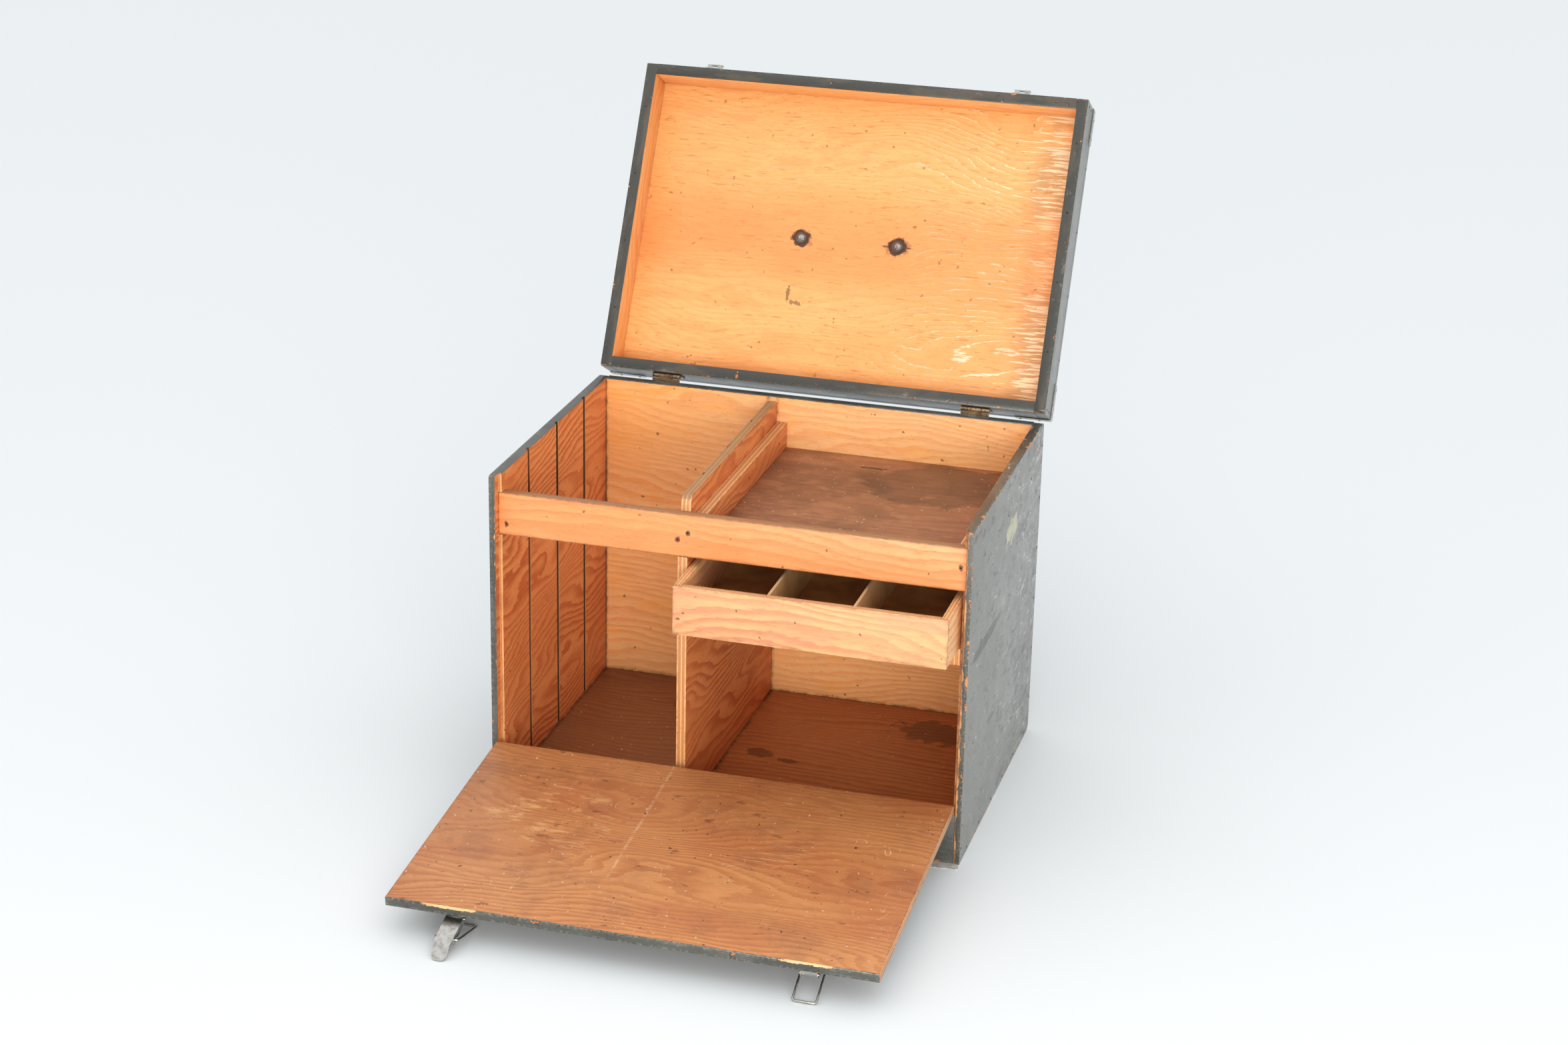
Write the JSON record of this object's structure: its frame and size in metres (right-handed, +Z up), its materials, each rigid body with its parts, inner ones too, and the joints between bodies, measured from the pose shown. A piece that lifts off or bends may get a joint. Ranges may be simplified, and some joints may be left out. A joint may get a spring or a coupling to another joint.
{
  "type": "equipment case",
  "caption": "Plywood equipment case with a lift-up lid, a fall-front door held by draw latches, a divided bay, a shelf and a compartmented drawer.",
  "frame": {"origin": "centre of the case's underside, on the floor", "axes": "+Z up, +Y towards the back (lid hinge side), +X to the right seen from the door side; rest pose has the lid, the door and the drawer open"},
  "size_m": [0.6127, 1.0943, 0.8231],
  "materials": {
    "painted_ply": "worn dark blue-grey paint over plywood, scuffed at the edges",
    "pale_ply": "varnished pale plywood",
    "red_ply": "varnished red-orange fir plywood with cathedral grain",
    "brown_ply": "varnished brown-orange plywood inside, worn dark paint outside",
    "stained_ply": "dark brown stained plywood, worn",
    "lid_ply": "yellow-orange varnished plywood inside, worn dark paint outside",
    "raw_pine": "bare softwood",
    "hardboard": "brown hardboard",
    "dark_board": "dark hardboard",
    "nickel": "nickel-plated pressed steel, lightly tarnished",
    "brassed_steel": "brass-plated steel, tarnished"
  },
  "bodies": {
    "cabinet": {"back_panel": "painted_ply", "bottom_front_board": "painted_ply", "bottom_panel": "stained_ply", "corner_plate_left": "nickel", "corner_plate_right": "nickel", "divider_panel": "red_ply", "door_hinge_left_case_leaf": "brassed_steel", "door_hinge_left_pin": "brassed_steel", "door_hinge_right_case_leaf": "brassed_steel", "door_hinge_right_pin": "brassed_steel", "drawer_runner_left": "pale_ply", "drawer_runner_right": "pale_ply", "front_rail": "pale_ply", "left_side_panel": "painted_ply", "lid_hinge_left_case_leaf": "brassed_steel", "lid_hinge_left_pin": "brassed_steel", "lid_hinge_right_case_leaf": "brassed_steel", "lid_hinge_right_pin": "brassed_steel", "right_side_panel": "painted_ply", "shelf_cleat_left": "red_ply", "shelf_cleat_right": "red_ply", "shelf_panel": "stained_ply"},
    "lid": {"handle_bolt_left": "nickel", "handle_bolt_right": "nickel", "lid_corner_back_left": "nickel", "lid_corner_back_right": "nickel", "lid_corner_front_left": "nickel", "lid_corner_front_right": "nickel", "lid_handle": "nickel", "lid_hinge_left_lid_leaf": "brassed_steel", "lid_hinge_right_lid_leaf": "brassed_steel", "lid_panel": "lid_ply", "lid_rail_back": "painted_ply", "lid_rail_front": "painted_ply", "lid_rail_left": "painted_ply", "lid_rail_right": "painted_ply", "strike_left": "nickel", "strike_right": "nickel"},
    "door": {"door_hinge_left_door_leaf": "brassed_steel", "door_hinge_right_door_leaf": "brassed_steel", "door_panel": "brown_ply", "latch_left_base": "nickel", "latch_left_pin": "nickel", "latch_right_base": "nickel", "latch_right_pin": "nickel"},
    "drawer": {"drawer_back": "raw_pine", "drawer_bottom": "dark_board", "drawer_front": "raw_pine", "drawer_partition_1": "hardboard", "drawer_partition_2": "hardboard", "drawer_side_left": "raw_pine", "drawer_side_right": "raw_pine"},
    "lever_left": {"latch_left_lever": "nickel"},
    "lever_right": {"latch_right_lever": "nickel"},
    "bail_left": {"latch_left_bail": "nickel"},
    "bail_right": {"latch_right_bail": "nickel"}
  },
  "joints": [
    {"name": "lid_hinge", "type": "hinge", "parent": "cabinet", "child": "lid", "pos_m": [0, 0.2145, 0.4437], "axis": [-1, 0, 0], "range_deg": [-118, 0]},
    {"name": "door_hinge", "type": "hinge", "parent": "cabinet", "child": "door", "pos_m": [0, -0.2145, 0.06675], "axis": [1, 0, 0], "range_deg": [-95.71, 0]},
    {"name": "drawer_slide", "type": "slide", "parent": "cabinet", "child": "drawer", "axis": [0, -1, 0], "range_m": [-0.0678, 0]},
    {"name": "lever_left_hinge", "type": "hinge", "parent": "door", "child": "lever_left", "pos_m": [0, -0.57147, 0.02602], "axis": [-1, 0, 0], "range_deg": [-167.71, 0]},
    {"name": "lever_right_hinge", "type": "hinge", "parent": "door", "child": "lever_right", "pos_m": [0, -0.57147, 0.02602], "axis": [-1, 0, 0], "range_deg": [0, 167.71]},
    {"name": "bail_left_swing", "type": "hinge", "parent": "lever_left", "child": "bail_left", "pos_m": [0, -0.60381, 0.01551], "axis": [1, 0, 0], "range_deg": [-332.71, 0]},
    {"name": "bail_right_swing", "type": "hinge", "parent": "lever_right", "child": "bail_right", "pos_m": [0, -0.53764, 0.0294], "axis": [1, 0, 0], "range_deg": [0, 309.73]}
  ],
  "couplings": [
    {"joint": "drawer_slide", "follows": "door_hinge", "m_per_rad": 0.040527},
    {"joint": "bail_left_swing", "follows": "lever_left_hinge", "ratio": 1.9838},
    {"joint": "bail_right_swing", "follows": "lever_right_hinge", "ratio": 1.8468}
  ]
}
